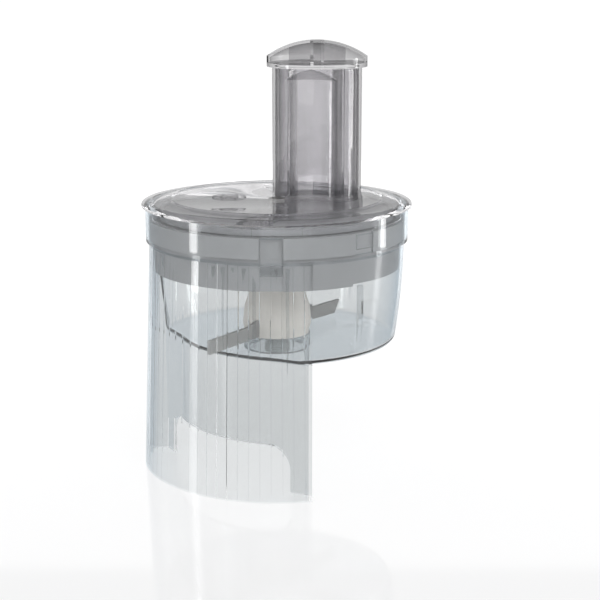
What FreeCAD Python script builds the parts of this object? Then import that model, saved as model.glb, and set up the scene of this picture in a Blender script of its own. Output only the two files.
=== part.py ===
import FreeCAD, Part
import math
import os

import Sketcher
from FreeCAD import Placement, Rotation, Vector

# Dicing attachment for a food processor: clear housing with a long discharge chute, a lid with a
# feed tube and pusher, a fixed cutting grid and a rotor with a slicing disc and two ejector wings.
#
# Row frame: origin on the drive axis at the underside of the housing floor, +Z up, front is -Y.
# A bearing angle ("az") is measured from the front towards +X.  Millimetres and degrees.

SIZES = {
    # housing
    "housing_top_r": 90.0,        # outside radius of the wall just below the collar
    "housing_taper": 5.1,         # the wall is this much narrower at the floor corner
    "housing_wall": 2.2,
    "wall_bulge_r": 480.0,        # the wall is barrelled outwards very slightly
    "floor_thick": 2.5,
    "floor_corner_r": 5.0,
    "step_height": 69.5,          # where the wall steps out to the collar
    "step_rise": 2.5,
    "collar_step": 2.5,           # the collar stands out this far from the wall
    "collar_height": 26.0,        # from the step to the collar's top edge
    "ledge_rise": 4.0,            # inner ledge above the step, which carries the insert
    "boss_r": 12.0,               # floor boss round the shaft
    "boss_height": 18.0,
    "bush_r": 8.0,
    "key_width": 15.0,            # front key that stops the insert turning
    "key_az": -1.5,
    "key_depth": 2.4,
    "key_low": 62.1,
    "key_high": 87.0,
    "block_az": 41.2,             # second locating block on the collar
    "block_angle": 9.0,
    "block_low": 77.0,
    "block_high": 86.5,
    "rib_width": 4.0,             # tapered guide rib inside the wall
    "rib_start": 0.6,             # the rib's face stands this far outside the floor's edge
    "rib_low": 12.0,
    "rib_high": 51.0,
    "rib_az": 42.0,
    "chute_side_rib_az": 138.0,
    "block_depth": 1.6,
    # discharge chute
    "chute_az": -44.0,            # middle of the chute
    "chute_drop": 91.5,           # chute mouth below the floor
    "chute_top_step": 0.2,        # the chute's front wall is this much outside the housing's
    "chute_flare": 6.4,           # and this much outside it at the mouth
    "chute_wall": 2.5,
    "chute_edge": 24.5,           # distance of the chute's side planes from the drive axis
    "chute_edge_az": 90.0,        # bearing that the right side plane faces
    "back_r": 90.0,               # radius of the chute's back wall
    "back_offset": 25.0,          # its centre lies this far behind the drive axis
    "back_half_angle": 29.3,
    "end_inset": 3.5,             # the back wall's wings end this far inside the housing's radius
    "chute_span": 131.0,          # angle that the chute's front wall is first turned through
    "arch_height": 32.0,          # cut-out at the foot of the back wall
    "arch_half_width": 60.0,
    "arch_corner": 16.0,
    "flute_pitch": 4.7,           # vertical flutes inside the chute's front wall, degrees
    "flute_count": 25,
    "flute_depth": 0.5,
    "flute_width": 1.0,
    "flute_tip": 0.1,             # width of a flute at its bottom
    # drive spigot under the floor
    "spigot_r": 24.0,
    "spigot_wall": 4.0,
    "spigot_drop": 9.0,
    "lug_count": 3,
    "lug_width": 7.0,
    "lug_reach": 3.0,
    "lug_height": 3.0,
    # insert with the cutting grid
    "insert_gap": 0.4,
    "insert_low": 51.6,
    "insert_high": 87.5,
    "insert_thick": 3.8,          # from the wall's inside to the insert's inside
    "insert_step": 1.5,           # the lower edge is cut back this much between two bearings
    "insert_step_from": 36.5,
    "insert_step_to": 150.0,
    "insert_draft": 0.5,
    "grid_low": 76.0,
    "grid_high": 84.0,
    "grid_plate": 3.0,
    "grid_window": 40.0,
    "grid_inset": 39.45,          # from the insert's inside to the middle of the window
    "grid_angle": 44.1,           # that middle's direction from +X
    "grid_blade": 0.6,
    "grid_blade_gap": 0.2,        # between the two layers of blades
    "grid_blade_count": 4,
    "grid_ledge": 6.5,
    "grid_ledge_thick": 3.0,
    "grid_gap": 0.3,
    "grid_notch_gap": 1.5,        # round the frame's skirt where it passes the insert's ledge
    "grid_screw_r": 1.5,
    "grid_screw_head_r": 2.8,
    "grid_screw_head": 1.6,
    "grid_screw_bite": 2.0,       # how far the screws reach into the insert's ledge
    "grid_screw_count": 4,
    # lid
    "lid_overhang": 2.5,          # beyond the collar
    "lid_gap": 0.3,               # rim above the collar
    "rim_thick": 1.6,
    "lid_edge": 0.8,              # slope at the top of the rim, in and up
    "lid_edge_rise": 0.6,
    "lid_ring_inset": 7.0,        # a faint ring this far inside the lid's edge
    "lid_ring_rise": 3.3,
    "ridge_r": 74.5,
    "ridge_rise": 0.9,
    "ridge_half": 2.0,
    "plateau_rise": 4.8,          # flat middle above the collar's top edge
    "lid_thick": 2.3,
    "skirt_inset": 2.1,           # the lid's skirt clears the collar by this much
    "skirt_wall": 2.0,
    "skirt_drop": 7.5,
    "pad_az": 0.9,                # front thumb pad on the skirt
    "pad_angle": 21.2,
    "pad_reach": 1.6,
    "pad_drop": 7.2,
    "latch_az": 89.5,             # latch tab under the rim
    "latch_angle": 7.0,
    "latch_drop": 4.5,
    "badge_r": 12.0,
    "badge_x": -33.5,
    "badge_thick": 1.2,
    "badge_sunk": 0.6,
    "badge_gap": 0.1,
    "lid_bearing_r": 6.0,
    "lid_bearing_sunk": 1.2,
    "lid_bearing_roof": 0.8,
    # feed tube and pusher
    "tube_x": 28.5,
    "tube_y": 27.0,
    "tube_r": 31.9,
    "tube_wall": 2.0,
    "tube_low": 94.5,
    "tube_high": 189.5,
    "recess_r": 24.0,             # concave front of the tube
    "recess_offset_x": 6.5,       # the recess's centre, left of and in front of the tube's
    "recess_offset_y": 41.0,
    "flare_height": 8.0,
    "flare_depth": 14.5,
    "weld_gap": 0.1,
    "pusher_gap": 0.7,
    "pusher_wall": 1.8,
    "pusher_floor": 2.5,
    "pusher_lift": 0.8,           # pusher foot above the tube's lower edge
    "cap_r": 35.7,
    "cap_gap": 0.3,
    "cap_plate": 2.7,
    "cap_rim": 7.2,
    "cap_dome_r": 62.0,
    "cap_wall": 2.2,
    "cap_cut": 5.0,               # finger pockets start this far off the cap's middle
    "cap_scoop": 15.0,            # length of the wall behind each pocket
    # rotor
    "shaft_r": 4.0,
    "shaft_low": -6.0,
    "shaft_high": 97.5,
    "running_gap": 0.05,
    "axial_gap": 0.4,
    "washer_r": 10.0,
    "washer_thick": 1.0,
    "seal_height": 3.0,
    "clip_r": 6.5,
    "clip_thick": 0.8,
    "hub_low": 2.9,
    "hub_foot_r": 22.8,
    "hub_belly_r": 24.6,
    "hub_belly": 9.5,
    "hub_waist_r": 23.5,
    "hub_waist": 21.5,
    "hub_neck_r": 20.2,
    "hub_neck": 32.5,
    "hub_shoulder_r": 18.5,
    "hub_shoulder": 46.0,
    "hub_top_r": 13.0,
    "hub_high": 50.0,
    "hub_cavity_r": 15.0,
    "wing_inset": 1.7,            # the long wing clears the wall by this much at the floor
    "short_wing_r": 72.0,
    "wing_thick": 2.5,
    "wing_low": 4.0,
    "wing_tip_height": 9.5,
    "wing_root_height": 12.0,
    "wing_root_in": 0.9,          # the outline starts this far inside the hub
    "wing_step": 14.0,
    "short_wing_lean": 6.0,
    "wing_az": -33.5,
    "short_wing_az": 141.0,
    "disc_inset": 2.0,            # the disc clears the insert by this much
    "disc_low": 88.0,
    "disc_thick": 2.5,
    "disc_rim": 1.5,
    "disc_rim_width": 2.0,
    "disc_rim_slope": 1.0,
    "sleeve_r": 12.0,
    "nut_r": 9.0,
    "nut_thick": 3.4,
    "knife_az": -20.0,
    "knife_from": 17.0,
    "knife_length": 60.0,
    "knife_width": 16.0,
    "knife_thick": 1.2,
    "knife_taper": 2.0,
    "slot_width": 8.0,
    "knife_screw_r": 1.6,
    "knife_screw_head_r": 2.6,
    "knife_screw_head": 1.2,
    "knife_screw_count": 3,
    "coupling_r": 9.0,
    "coupling_low": -12.0,
    "socket_width": 9.5,
    "socket_depth": 5.5,
    "pin_r": 1.2,
    "pin_below": 3.0,
}

doc = FreeCAD.newDocument("dicing_attachment")
sheet = doc.addObject("Spreadsheet::Sheet", "Dims")
for row, (alias, number) in enumerate(SIZES.items(), start=1):
    sheet.set(f"A{row}", alias)
    sheet.set(f"B{row}", str(number))
    sheet.setAlias(f"B{row}", alias)
doc.recompute()

cutting_features = []


class Size:
    """A number that also knows the spreadsheet expression it comes from."""

    def __init__(self, value, text):
        self.value = float(value)
        self.text = text

    def __add__(self, other):
        other = size(other)
        return Size(self.value + other.value, f"({self.text} + {other.text})")

    def __sub__(self, other):
        other = size(other)
        return Size(self.value - other.value, f"({self.text} - {other.text})")

    def __mul__(self, other):
        other = size(other)
        return Size(self.value * other.value, f"({self.text} * {other.text})")

    def __truediv__(self, other):
        other = size(other)
        return Size(self.value / other.value, f"({self.text} / {other.text})")

    def __neg__(self):
        return size(0) - self

    __radd__ = __add__

    def __rsub__(self, other):
        return size(other) - self

    __rmul__ = __mul__


def size(thing):
    """A spreadsheet alias, a plain number or a Size, as a Size."""
    if isinstance(thing, Size):
        return thing
    if isinstance(thing, str):
        return Size(SIZES[thing], f"Dims.{thing}")
    return Size(thing, repr(float(thing)))


def sine(angle):
    angle = size(angle)
    return Size(math.sin(math.radians(angle.value)), f"sin({angle.text})")


def cosine(angle):
    angle = size(angle)
    return Size(math.cos(math.radians(angle.value)), f"cos({angle.text})")


def root(number):
    return Size(math.sqrt(number.value), f"sqrt({number.text})")


def bearing(radius, az):
    """The point at this radius and bearing angle from the front."""
    return size(radius) * sine(az), -(size(radius) * cosine(az))


def polar(radius, angle):
    """The point at this radius and ordinary angle from +X."""
    return size(radius) * cosine(angle), size(radius) * sine(angle)


def bind(thing, path, amount):
    thing.setExpression(path, size(amount).text)


def place(thing, x=0, y=0, z=0, turn=0):
    """Puts an object at x, y, z, turned about Z, bound to the sheet."""
    x, y, z, turn = size(x), size(y), size(z), size(turn)
    thing.Placement = Placement(Vector(x.value, y.value, z.value), Rotation(Vector(0, 0, 1), turn.value))
    for path, amount in (("Base.x", x), ("Base.y", y), ("Base.z", z), ("Rotation.Angle", turn)):
        bind(thing, f"Placement.{path}", amount)
    bind(thing, "Placement.Rotation.Axis.z", 1)
    return thing


# ---- radii that follow the housing ----

housing_base_r = size("housing_top_r") - size("housing_taper")
collar_r = size("housing_top_r") + size("collar_step")
chute_top_r = size("housing_top_r") + size("chute_top_step")
chute_mouth_r = size("housing_top_r") + size("chute_flare")
end_r = size("housing_top_r") - size("end_inset")
insert_inner_r = size("housing_top_r") - size("housing_wall") - size("insert_thick")
lid_r = collar_r + size("lid_overhang")
lid_ring_r = lid_r - size("lid_ring_inset")
skirt_r = collar_r - size("housing_wall") - size("skirt_inset")
wing_r = size("housing_top_r") - size("housing_taper") - size("housing_wall") - size("wing_inset")
disc_r = insert_inner_r - size("disc_inset")


# ---- sketches and PartDesign features ----


def new_body(name):
    body = doc.addObject("PartDesign::Body", name)
    body.Label = name
    return body


def origin_feature(body, role):
    return next(f for f in body.Origin.OriginFeatures if f.Role == role)


def new_sketch(body, role="XY_Plane", lift=0, turn=0):
    """A sketch on one of the body's own planes, lifted along its normal and turned about it."""
    sketch = body.newObject("Sketcher::SketchObject", "Sketch")
    sketch.AttachmentSupport = [(origin_feature(body, role), "")]
    sketch.MapMode = "FlatFace"
    lift, turn = size(lift), size(turn)
    sketch.AttachmentOffset = Placement(Vector(0, 0, lift.value), Rotation(Vector(0, 0, 1), turn.value))
    bind(sketch, "AttachmentOffset.Base.z", lift)
    if turn.value:
        bind(sketch, "AttachmentOffset.Rotation.Angle", turn)
    return sketch


def fix(sketch, kind, geometry, point, amount):
    """Fixes one coordinate of a point, on the axis itself where the amount is nought."""
    if amount.value == 0:
        axis = -2 if kind == "DistanceX" else -1
        sketch.addConstraint(Sketcher.Constraint("PointOnObject", geometry, point, axis))
        return
    index = sketch.addConstraint(Sketcher.Constraint(kind, -1, 1, geometry, point, amount.value))
    bind(sketch, f"Constraints[{index}]", amount)


def draw_loop(sketch, corners, arcs=None):
    """Draws a closed outline.  arcs maps an edge's number to (radius, side): side 1 has the arc's
    centre on the left of the edge, -1 on its right."""
    arcs = arcs or {}
    corners = [(size(x), size(y)) for x, y in corners]
    edges = []
    for number, start in enumerate(corners):
        end = corners[(number + 1) % len(corners)]
        a = Vector(start[0].value, start[1].value, 0)
        b = Vector(end[0].value, end[1].value, 0)
        if number not in arcs:
            edges.append((sketch.addGeometry(Part.LineSegment(a, b), False), 1, 2))
            continue
        radius, side = size(arcs[number][0]), arcs[number][1]
        half = (b - a) * 0.5
        away = math.sqrt(max(radius.value ** 2 - half.Length ** 2, 0.0))
        left = Vector(-half.y, half.x, 0).normalize()
        centre = a + half + left * (away * side)
        first, last = (a, b) if side > 0 else (b, a)
        from_angle = math.atan2(first.y - centre.y, first.x - centre.x)
        to_angle = math.atan2(last.y - centre.y, last.x - centre.x)
        circle = Part.Circle(centre, Vector(0, 0, 1), radius.value)
        geometry = sketch.addGeometry(Part.ArcOfCircle(circle, from_angle, to_angle), False)
        edges.append((geometry, 1, 2) if side > 0 else (geometry, 2, 1))
        index = sketch.addConstraint(Sketcher.Constraint("Radius", geometry, radius.value))
        bind(sketch, f"Constraints[{index}]", radius)
    for number, (geometry, start_point, _) in enumerate(edges):
        previous, _, end_point = edges[number - 1]
        joint = Sketcher.Constraint("Coincident", previous, end_point, geometry, start_point)
        sketch.addConstraint(joint)
        fix(sketch, "DistanceX", geometry, start_point, corners[number][0])
        fix(sketch, "DistanceY", geometry, start_point, corners[number][1])
    return sketch


def draw_circle(sketch, x, y, radius):
    x, y, radius = size(x), size(y), size(radius)
    circle = Part.Circle(Vector(x.value, y.value, 0), Vector(0, 0, 1), radius.value)
    geometry = sketch.addGeometry(circle, False)
    index = sketch.addConstraint(Sketcher.Constraint("Radius", geometry, radius.value))
    bind(sketch, f"Constraints[{index}]", radius)
    fix(sketch, "DistanceX", geometry, 3, x)
    fix(sketch, "DistanceY", geometry, 3, y)
    return sketch


def draw_sector(sketch, inner, outer, az_from, az_to):
    """A piece of a ring between two bearings."""
    corners = [
        bearing(inner, az_from),
        bearing(outer, az_from),
        bearing(outer, az_to),
        bearing(inner, az_to),
    ]
    return draw_loop(sketch, corners, {1: (outer, 1), 3: (inner, -1)})


def add_feature(body, kind, sketch, amount=None, down=False, both=False):
    """A pad, pocket, revolution or groove of a sketch."""
    feature = body.newObject(f"PartDesign::{kind}", kind)
    feature.Profile = sketch
    if kind in ("Revolution", "Groove"):
        feature.ReferenceAxis = (sketch, ["V_Axis"])
        feature.Angle = 360.0
        if amount is not None:
            feature.Angle = size(amount).value
            bind(feature, "Angle", amount)
    else:
        feature.Length = size(amount).value
        bind(feature, "Length", amount)
    feature.Midplane = both
    feature.Reversed = down
    if kind in ("Pocket", "Groove"):
        cutting_features.append(feature)
    sketch.Visibility = False
    return feature


def turn_profile(body, corners, arcs=None, angle=None):
    """A solid of revolution about Z from an outline in radius and height."""
    sketch = draw_loop(new_sketch(body, "XZ_Plane"), corners, arcs)
    return add_feature(body, "Revolution", sketch, angle, both=angle is not None)


def repeat_round(body, feature, count, angle=360.0):
    pattern = body.newObject("PartDesign::PolarPattern", "PolarPattern")
    pattern.Originals = [feature]
    pattern.Axis = (origin_feature(body, "Z_Axis"), [""])
    pattern.Angle = size(angle).value
    bind(pattern, "Angle", angle)
    pattern.Occurrences = int(size(count).value)
    bind(pattern, "Occurrences", count)
    body.Tip = pattern
    return pattern


# ---- Part primitives ----


def cylinder(name, radius, height, x=0, y=0, z=0):
    thing = doc.addObject("Part::Cylinder", name)
    thing.Radius, thing.Height = size(radius).value, size(height).value
    bind(thing, "Radius", radius)
    bind(thing, "Height", height)
    return place(thing, x, y, z)


def cone(name, low_r, high_r, height, x=0, y=0, z=0):
    thing = doc.addObject("Part::Cone", name)
    thing.Radius1, thing.Radius2 = size(low_r).value, size(high_r).value
    thing.Height = size(height).value
    for path, amount in (("Radius1", low_r), ("Radius2", high_r), ("Height", height)):
        bind(thing, path, amount)
    return place(thing, x, y, z)


def box(name, length, width, height, x=0, y=0, z=0, turn=0):
    """A box whose length runs along +X from x, centred across Y before it is turned about Z."""
    thing = doc.addObject("Part::Box", name)
    thing.Length, thing.Width = size(length).value, size(width).value
    thing.Height = size(height).value
    for path, amount in (("Length", length), ("Width", width), ("Height", height)):
        bind(thing, path, amount)
    x, y, turn = size(x), size(y), size(turn)
    half = size(width) / 2
    return place(
        thing,
        x * cosine(turn) - (y - half) * sine(turn),
        x * sine(turn) + (y - half) * cosine(turn),
        z,
        turn,
    )


def cut(name, base, tool):
    thing = doc.addObject("Part::Cut", name)
    thing.Base, thing.Tool = base, tool
    return thing


def join(name, parts):
    thing = doc.addObject("Part::MultiFuse", name)
    thing.Shapes = parts
    return thing


def group(name, parts):
    """Separate solids that share one node."""
    thing = doc.addObject("Part::Compound", name)
    thing.Links = parts
    return named(thing, name)


def named(thing, label):
    thing.Label = label
    return thing


def ring(name, outer, inner, height, z):
    body = cylinder(f"{name}_outside", outer, height, z=z)
    hole = cylinder(f"{name}_hole", inner, size(height) + 2, z=size(z) - 1)
    return cut(name, body, hole)


# ---- shared places ----

collar_top = size("step_height") + size("collar_height")
ledge_high = size("step_height") + size("ledge_rise")
collar_in_r = collar_r - size("housing_wall")
wall_top_in_r = size("housing_top_r") - size("housing_wall")
wall_base_in_r = housing_base_r - size("housing_wall")
chute_turn = size("chute_az") - 90
edge_angle = size("chute_edge_az") - size("chute_az")
disc_high = size("disc_low") + size("disc_thick")
cap_low = size("tube_high") + size("cap_gap")
plateau = collar_top + size("plateau_rise")
grid_screw_at = insert_inner_r - size("grid_gap") - size("grid_ledge") / 2
grid_skirt_half = size("grid_window") / 2 + size("housing_wall")


def chute_points():
    """Corner of the back wall, its end at the side plane, and the side plane's normal, in the
    chute's own frame, whose +X runs through its middle."""
    corner = (
        size("back_r") * cosine("back_half_angle") - size("back_offset"),
        size("back_r") * sine("back_half_angle"),
    )
    edge = size("chute_edge")
    end = on_edge_plane(edge, root(end_r * end_r - edge * edge))
    return corner, end


def mirrored(point):
    return point[0], -point[1]


def on_edge_plane(offset, along):
    """A point this far out on the side plane's normal and this far along it towards the front wall."""
    nx, ny = cosine(edge_angle), sine(edge_angle)
    offset, along = size(offset), size(along)
    return nx * offset + ny * along, ny * offset - nx * along


def web_plate(near):
    """Outline of the flat web in the side plane, from this radius out past the chute's front wall."""
    inside = size("chute_edge") - size("chute_wall")
    along = root(near * near - size("chute_edge") * size("chute_edge"))
    beyond = chute_mouth_r + 5
    return [
        on_edge_plane(inside, along),
        on_edge_plane("chute_edge", along),
        on_edge_plane("chute_edge", beyond),
        on_edge_plane(inside, beyond),
    ]


# ---- housing ----


def make_housing_bowl():
    body = new_body("housing_bowl")
    base_in = housing_base_r - size("floor_corner_r")
    inner_corner = size("floor_corner_r") - size("floor_thick")
    corners = [
        ("bush_r", 0),
        (base_in, 0),
        (housing_base_r, "floor_corner_r"),
        ("housing_top_r", "step_height"),
        (collar_r, size("step_height") + size("step_rise")),
        (collar_r, collar_top),
        (collar_in_r, collar_top),
        (collar_in_r, ledge_high),
        (wall_top_in_r, ledge_high),
        (wall_base_in_r, size("floor_thick") + inner_corner),
        (wall_base_in_r - inner_corner, "floor_thick"),
        ("boss_r", "floor_thick"),
        ("boss_r", "boss_height"),
        ("bush_r", "boss_height"),
    ]
    bulge_in = size("wall_bulge_r") - size("housing_wall")
    arcs = {
        1: ("floor_corner_r", 1),
        2: ("wall_bulge_r", 1),
        8: (bulge_in, -1),
        9: (inner_corner, -1),
    }
    turn_profile(body, corners, arcs)

    opening = new_sketch(body, "XY_Plane", "step_height", chute_turn)
    corner, end = chute_points()
    far = on_edge_plane("chute_edge", chute_mouth_r + 20)
    wide = (chute_mouth_r * 1.5, far[1])
    outline = [corner, end, far, wide, mirrored(wide), mirrored(far), mirrored(end), mirrored(corner)]
    draw_loop(opening, outline, {7: ("back_r", 1)})
    add_feature(body, "Pocket", opening, size("step_height") + 1)
    slots = new_sketch(body, "XY_Plane", "step_height", chute_turn)
    draw_loop(slots, web_plate(wall_base_in_r))
    draw_loop(slots, [mirrored(point) for point in web_plate(wall_base_in_r)])
    add_feature(body, "Pocket", slots, "step_height")

    key_half = size("key_width") / 2
    key_in = wall_top_in_r - size("key_depth")
    tongue_out = chute_top_r - size("chute_wall") - size("weld_gap")
    for low, high, out in (
        (size("step_height"), size("key_high"), collar_in_r + 1),
        (size("key_low"), size("step_height") + 1, tongue_out),
    ):
        key = new_sketch(body, "XY_Plane", low, "key_az")
        draw_loop(key, [(-key_half, -out), (key_half, -out), (key_half, -key_in), (-key_half, -key_in)])
        add_feature(body, "Pad", key, high - low)

    block = new_sketch(body, "XY_Plane", "block_low")
    half = size("block_angle") / 2
    draw_sector(
        block,
        collar_in_r - size("block_depth"),
        collar_in_r + 1,
        size("block_az") - half,
        size("block_az") + half,
    )
    add_feature(body, "Pad", block, size("block_high") - size("block_low"))

    rib_in = wall_base_in_r + size("rib_start")
    for az in ("rib_az", "chute_side_rib_az"):
        rib = new_sketch(body, "XY_Plane", "rib_low", az)
        half = size("rib_width") / 2
        rib_out = housing_base_r + size("rib_start")
        draw_loop(rib, [(-half, -rib_out), (half, -rib_out), (half, -rib_in), (-half, -rib_in)])
        add_feature(body, "Pad", rib, size("rib_high") - size("rib_low"))
    return body


def make_chute():
    """The chute in its own frame, symmetric about +X, then turned to its bearing."""
    body = new_body("discharge_chute")
    top, mouth = size("step_height"), -size("chute_drop")
    top_in = chute_top_r - size("chute_wall")
    mouth_in = chute_mouth_r - size("chute_wall")
    turn_profile(
        body,
        [(top_in, top), (chute_top_r, top), (chute_mouth_r, mouth), (mouth_in, mouth)],
        angle="chute_span",
    )

    corner, end = chute_points()
    inner_r = size("back_r") - size("chute_wall")
    inner_corner = (
        inner_r * cosine("back_half_angle") - size("back_offset"),
        inner_r * sine("back_half_angle"),
    )
    inner_end = (end[0] - size("chute_wall"), end[1])
    back = new_sketch(body, "XY_Plane", mouth)
    draw_loop(
        back,
        [
            corner,
            end,
            inner_end,
            inner_corner,
            mirrored(inner_corner),
            mirrored(inner_end),
            mirrored(end),
            mirrored(corner),
        ],
        {3: (inner_r, -1), 7: ("back_r", 1)},
    )
    add_feature(body, "Pad", back, "chute_drop")

    for low, high, near in (
        (mouth, size(0), end_r - size("chute_wall")),
        (size(0), top, wall_base_in_r),
    ):
        web = new_sketch(body, "XY_Plane", low)
        draw_loop(web, web_plate(near))
        draw_loop(web, [mirrored(point) for point in web_plate(near)])
        add_feature(body, "Pad", web, high - low)

    trim = new_sketch(body, "XY_Plane", mouth - 1)
    far = chute_mouth_r * 2
    beyond = [
        on_edge_plane("chute_edge", end_r * 0.5),
        on_edge_plane("chute_edge", far),
        on_edge_plane(far, far),
        on_edge_plane(far, end_r * 0.5),
    ]
    draw_loop(trim, beyond)
    draw_loop(trim, [mirrored(point) for point in beyond])
    add_feature(body, "Pocket", trim, size("step_height") + size("chute_drop") + 2, down=True)

    outside = new_sketch(body, "XZ_Plane")
    draw_loop(
        outside,
        [(chute_top_r, top), (chute_mouth_r, mouth), (far, mouth), (far, top)],
    )
    add_feature(body, "Groove", outside)

    inside_bowl = new_sketch(body, "XZ_Plane")
    draw_loop(
        inside_bowl,
        [
            (insert_inner_r * 0.5, 0),
            (wall_base_in_r, 0),
            (wall_base_in_r, "floor_corner_r"),
            (wall_top_in_r, top + 1),
            (insert_inner_r * 0.5, top + 1),
        ],
        {2: (size("wall_bulge_r") - size("housing_wall"), 1)},
    )
    add_feature(body, "Groove", inside_bowl)

    arch = new_sketch(body, "YZ_Plane")
    half, high = size("arch_half_width"), mouth + size("arch_height")
    round_r = size("arch_corner")
    draw_loop(
        arch,
        [
            (-half, mouth - 1),
            (half, mouth - 1),
            (half, high - round_r),
            (half - round_r, high),
            (-(half - round_r), high),
            (-half, high - round_r),
        ],
        {2: (round_r, 1), 4: (round_r, 1)},
    )
    add_feature(body, "Pocket", arch, size("back_r") - size("back_offset") + 3, down=True)

    flute_turn = -(size("flute_pitch") * (size("flute_count") - 1)) / 2
    ends = []
    for height, radius in ((mouth - 1, mouth_in), (top - size("step_rise"), top_in)):
        notch = new_sketch(body, "XY_Plane", height, flute_turn)
        half, tip = size("flute_width") / 2, size("flute_tip") / 2
        draw_loop(
            notch,
            [(radius - 1, -half), (radius + size("flute_depth"), -tip), (radius + size("flute_depth"), tip),
             (radius - 1, half)],
        )
        ends.append(notch)
    flute = body.newObject("PartDesign::SubtractiveLoft", "Flute")
    flute.Profile = ends[0]
    flute.Sections = [ends[1]]
    flute.Ruled = True
    cutting_features.append(flute)
    span = size("flute_pitch") * (size("flute_count") - 1)
    repeat_round(body, flute, "flute_count", span)
    return place(body, turn=chute_turn)


def make_spigot():
    """The collar under the floor that locks onto the drive, with three bayonet lugs inside it."""
    body = new_body("drive_spigot")
    drop = -size("spigot_drop")
    inner = size("spigot_r") - size("spigot_wall")
    turn_profile(body, [(inner, drop), ("spigot_r", drop), ("spigot_r", 0), (inner, 0)])
    lug = new_sketch(body, "XY_Plane", drop)
    half = size("lug_width") / 2
    near, far = inner - size("lug_reach"), inner + size("spigot_wall") / 2
    draw_loop(lug, [(-half, -far), (half, -far), (half, -near), (-half, -near)])
    pad = add_feature(body, "Pad", lug, "lug_height")
    repeat_round(body, pad, "lug_count")
    return body


def make_shaft_parts():
    """Bush, seal and washer in the housing; shaft, clip, coupling and pin in the rotor."""
    running_r = size("shaft_r") + size("running_gap")
    loose_r = size("shaft_r") + size("axial_gap")
    bush_low = size("clip_thick") + size("axial_gap")
    seal_low = size("boss_height") - size("seal_height")
    named(ring("bush", "bush_r", running_r, seal_low - bush_low, bush_low), "shaft_bush")
    named(ring("seal", "bush_r", loose_r, "seal_height", seal_low), "shaft_seal")
    named(ring("washer", "washer_r", loose_r, "washer_thick", "boss_height"), "thrust_washer")
    named(ring("clip", "clip_r", "shaft_r", "clip_thick", 0), "retaining_ring")

    pin_z = -size("axial_gap") - size("pin_below")
    pin = new_body("coupling_pin")
    draw_circle(new_sketch(pin, "YZ_Plane"), 0, pin_z, "pin_r")
    add_feature(pin, "Pad", pin.Group[0], size("coupling_r") * 2 - 1, both=True)
    drill = new_body("pin_drill")
    draw_circle(new_sketch(drill, "YZ_Plane"), 0, pin_z, "pin_r")
    add_feature(drill, "Pad", drill.Group[0], size("coupling_r") * 2 + 1, both=True)

    rod = cylinder("rod", "shaft_r", size("shaft_high") - size("shaft_low"), z="shaft_low")
    named(cut("shaft", rod, drill), "drive_shaft")

    top = -size("axial_gap")
    sleeve = cylinder("coupling_sleeve", "coupling_r", top - size("coupling_low"), z="coupling_low")
    bore = cylinder("coupling_bore", "shaft_r", top - size("shaft_low") + 1, z="shaft_low")
    socket = box(
        "coupling_socket",
        "socket_width",
        "socket_width",
        size("socket_depth") + 1,
        x=-size("socket_width") / 2,
        z=size("coupling_low") - 1,
    )
    voids = join("coupling_voids", [bore, socket, drill])
    named(cut("coupling", sleeve, voids), "drive_coupling")


# ---- insert and cutting grid ----


def draw_square(sketch, half):
    """A square about the middle of the cutting grid."""
    x, y = polar(insert_inner_r - size("grid_inset"), "grid_angle")
    corners = [(x - half, y - half), (x + half, y - half), (x + half, y + half), (x - half, y + half)]
    return draw_loop(sketch, corners)


def make_insert_ring():
    body = new_body("insert_ring")
    gap = size("insert_gap")
    skirt_r = wall_top_in_r - gap * 2
    flange_r = collar_in_r - gap
    low, high = size("insert_low"), size("insert_high")
    ledge_top = size("grid_high") - size("grid_plate")
    ledge_low = ledge_top - size("grid_ledge_thick")
    ledge_r = insert_inner_r - size("grid_ledge")
    draft = skirt_r - size("insert_draft")
    turn_profile(
        body,
        [
            (insert_inner_r, low),
            (draft, low),
            (skirt_r, size("step_height")),
            (skirt_r, ledge_high),
            (flange_r, ledge_high),
            (flange_r, high),
            (insert_inner_r, high),
            (insert_inner_r, ledge_top),
            (ledge_r, ledge_top),
            (ledge_r, ledge_low + 1),
            (insert_inner_r, ledge_low - 1),
        ],
    )
    notch = new_sketch(body, "XY_Plane", high + 1, "key_az")
    half = size("key_width") / 2 + gap
    notch_in, notch_out = wall_top_in_r - size("key_depth") - gap, collar_r + 5
    draw_loop(notch, [(-half, -notch_out), (half, -notch_out), (half, -notch_in), (-half, -notch_in)])
    add_feature(body, "Pocket", notch, high - low + 2)

    pocket = new_sketch(body, "XY_Plane", high + 1)
    reach = size("block_angle") / 2 + 0.5
    inner = collar_in_r - size("block_depth") - gap
    draw_sector(pocket, inner, notch_out, size("block_az") - reach, size("block_az") + reach)
    add_feature(body, "Pocket", pocket, high - ledge_high + 1)

    tapped = new_sketch(body, "XY_Plane", ledge_top + 1)
    draw_circle(tapped, 0, grid_screw_at, "grid_screw_r")
    holes = add_feature(body, "Pocket", tapped, size("grid_screw_bite") + 1)
    repeat_round(body, holes, "grid_screw_count")

    notch = new_sketch(body, "XY_Plane", ledge_top + 1)
    draw_square(notch, grid_skirt_half + size("grid_notch_gap"))
    add_feature(body, "Pocket", notch, ledge_top - ledge_low + 3)

    step = new_sketch(body, "XY_Plane", low)
    draw_sector(step, insert_inner_r - 5, notch_out, "insert_step_from", "insert_step_to")
    add_feature(body, "Pocket", step, "insert_step", down=True)
    return body


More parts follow.
